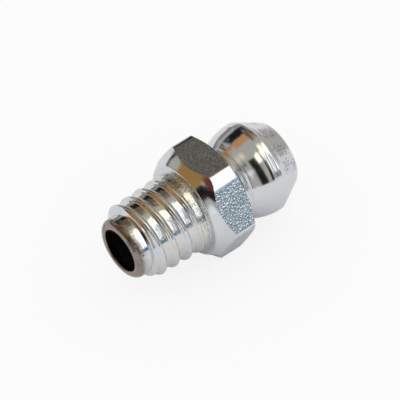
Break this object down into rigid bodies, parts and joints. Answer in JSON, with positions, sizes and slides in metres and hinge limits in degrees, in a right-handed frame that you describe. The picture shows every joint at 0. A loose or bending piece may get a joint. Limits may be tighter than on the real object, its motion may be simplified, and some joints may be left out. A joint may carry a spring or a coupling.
{
  "type": "grease nipple",
  "caption": "Straight grease nipple with a hexagon, a short taper thread, a round coupler head, and a sprung check ball inside.",
  "frame": {"origin": "centre of the thread-end face, on the axis", "axes": "+X along the axis from the thread end to the nose; +Z square to the upper flat of the hexagon, so that the nipple lies on the flat below; +Y towards a corner of the hexagon"},
  "size_m": [0.0129, 0.0082, 0.0072],
  "materials": {
    "zinc_plated_steel": "bright zinc plate over turned and rolled steel",
    "ball_steel": "ground and polished",
    "spring_steel": "drawn wire"
  },
  "bodies": {
    "body": {"nipple_body": "zinc_plated_steel", "spring": "spring_steel"},
    "ball": {"check_ball": "ball_steel"}
  },
  "joints": [
    {"name": "ball_slide", "type": "slide", "parent": "body", "child": "ball", "axis": [-1, 0, 0], "range_m": [0, 0.001], "stiffness_N_per_m": 300, "deforming": ["spring"]}
  ]
}
